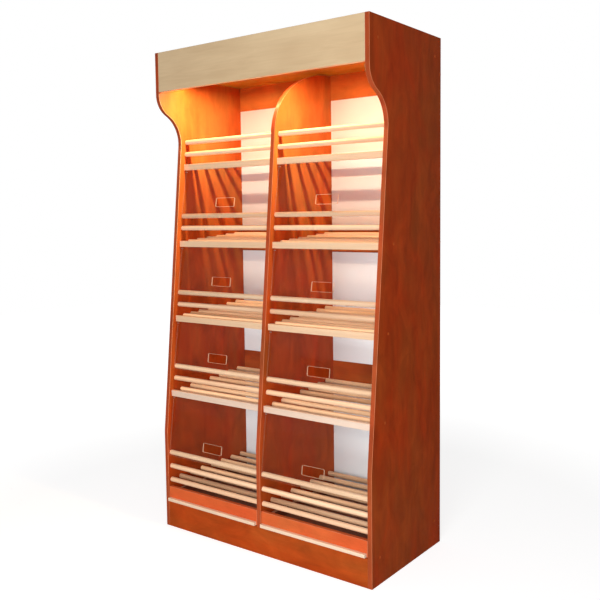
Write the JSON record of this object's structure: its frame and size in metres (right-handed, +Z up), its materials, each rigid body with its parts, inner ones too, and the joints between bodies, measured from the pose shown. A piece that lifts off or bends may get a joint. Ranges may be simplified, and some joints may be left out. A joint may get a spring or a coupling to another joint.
{
  "type": "bakery bread rack",
  "caption": "Two-column display rack for bread: sloping rod shelves behind clear lift-up flaps, an open shelf under a lit canopy and crumb drawers above the plinth.",
  "frame": {"origin": "middle of the base, on the floor", "axes": "+Z up, +Y to the rear, +X to the right seen from the front"},
  "size_m": [1.0416, 0.533, 2],
  "materials": {
    "aluminium": "anodised aluminium",
    "beech_bar": "planed beech, clear lacquer",
    "beech_rod": "turned beech, clear lacquer",
    "black_rubber": "moulded rubber",
    "brown_cap": "moulded brown plastic",
    "clear_acrylic": "clear polished acrylic",
    "dark_laminate": "cherry-print laminate, satin",
    "drawer_laminate": "orange-brown laminate, satin",
    "drawer_wood": "plywood stained cherry brown, paler along its top edges",
    "edge_band": "cherry edge band, satin",
    "hardboard": "tempered brown hardboard",
    "led_board": "white circuit board with phosphor dots",
    "light_veneer": "pale birch veneer, satin lacquer",
    "opal_diffuser": "opal plastic",
    "steel": "zinc-plated steel",
    "warm_laminate": "orange-brown laminate, satin",
    "white_plastic": "moulded white plastic",
    "white_sheet": "white lacquered hardboard"
  },
  "bodies": {
    "rack": {"back_sheet_lower": "white_sheet", "back_sheet_upper": "white_sheet", "bottom_board": "warm_laminate", "cable_grommet": "black_rubber", "ceiling_board": "warm_laminate", "drawer_slides": "steel", "edge_band_left": "edge_band", "edge_band_partition": "edge_band", "edge_band_right": "edge_band", "fascia_board": "light_veneer", "fence_rods_a": "beech_rod", "fence_rods_b": "beech_rod", "fence_rods_c": "beech_rod", "fence_rods_d": "beech_rod", "fence_rods_e": "beech_rod", "flap_pivot_pins": "steel", "lamp_base": "aluminium", "lamp_clips": "steel", "lamp_diffuser": "opal_diffuser", "lamp_end_caps": "white_plastic", "lamp_led_board": "led_board", "panel_screws": "steel", "partition": "dark_laminate", "plinth_front": "warm_laminate", "plinth_rear": "warm_laminate", "rear_rail_middle": "warm_laminate", "rear_rail_top": "warm_laminate", "screw_caps": "brown_cap", "shelf_bar_a": "beech_bar", "shelf_bar_b": "beech_bar", "shelf_bar_c": "beech_bar", "shelf_bar_d": "beech_bar", "shelf_bar_pins": "beech_rod", "shelf_rods_a": "beech_rod", "shelf_rods_b": "beech_rod", "shelf_rods_c": "beech_rod", "shelf_rods_d": "beech_rod", "shelf_rods_e": "beech_rod", "side_panel_left": "dark_laminate", "side_panel_right": "dark_laminate"},
    "drawer_left": {"drawer_back_left": "drawer_wood", "drawer_bottom_left": "hardboard", "drawer_front_left": "drawer_laminate", "drawer_pull_left": "beech_bar", "drawer_runners_left": "steel", "drawer_walls_left": "drawer_wood"},
    "drawer_right": {"drawer_back_right": "drawer_wood", "drawer_bottom_right": "hardboard", "drawer_front_right": "drawer_laminate", "drawer_pull_right": "beech_bar", "drawer_runners_right": "steel", "drawer_walls_right": "drawer_wood"},
    "flap_b_left": {"flap_b_left": "clear_acrylic"},
    "flap_b_right": {"flap_b_right": "clear_acrylic"},
    "flap_c_left": {"flap_c_left": "clear_acrylic"},
    "flap_c_right": {"flap_c_right": "clear_acrylic"},
    "flap_d_left": {"flap_d_left": "clear_acrylic"},
    "flap_d_right": {"flap_d_right": "clear_acrylic"},
    "flap_e_left": {"flap_e_left": "clear_acrylic"},
    "flap_e_right": {"flap_e_right": "clear_acrylic"}
  },
  "joints": [
    {"name": "flap_b_left_lift", "type": "hinge", "parent": "rack", "child": "flap_b_left", "pos_m": [-0.2555, -0.10826, 1.517], "axis": [-1, 0, 0], "range_deg": [0, 108]},
    {"name": "flap_b_right_lift", "type": "hinge", "parent": "rack", "child": "flap_b_right", "pos_m": [0.2555, -0.10826, 1.517], "axis": [-1, 0, 0], "range_deg": [0, 108]},
    {"name": "flap_c_left_lift", "type": "hinge", "parent": "rack", "child": "flap_c_left", "pos_m": [-0.2555, -0.1449, 1.19], "axis": [-1, 0, 0], "range_deg": [0, 109]},
    {"name": "flap_c_right_lift", "type": "hinge", "parent": "rack", "child": "flap_c_right", "pos_m": [0.2555, -0.1449, 1.19], "axis": [-1, 0, 0], "range_deg": [0, 109]},
    {"name": "flap_d_left_lift", "type": "hinge", "parent": "rack", "child": "flap_d_left", "pos_m": [-0.2555, -0.17919, 0.8715], "axis": [-1, 0, 0], "range_deg": [0, 110]},
    {"name": "flap_d_right_lift", "type": "hinge", "parent": "rack", "child": "flap_d_right", "pos_m": [0.2555, -0.17919, 0.8715], "axis": [-1, 0, 0], "range_deg": [0, 110]},
    {"name": "flap_e_left_lift", "type": "hinge", "parent": "rack", "child": "flap_e_left", "pos_m": [-0.2555, -0.21448, 0.553], "axis": [-1, 0, 0], "range_deg": [0, 110]},
    {"name": "flap_e_right_lift", "type": "hinge", "parent": "rack", "child": "flap_e_right", "pos_m": [0.2555, -0.21448, 0.553], "axis": [-1, 0, 0], "range_deg": [0, 110]},
    {"name": "drawer_left_slide", "type": "slide", "parent": "rack", "child": "drawer_left", "axis": [0, -1, 0], "range_m": [0, 0.3]},
    {"name": "drawer_right_slide", "type": "slide", "parent": "rack", "child": "drawer_right", "axis": [0, -1, 0], "range_m": [0, 0.3]}
  ]
}
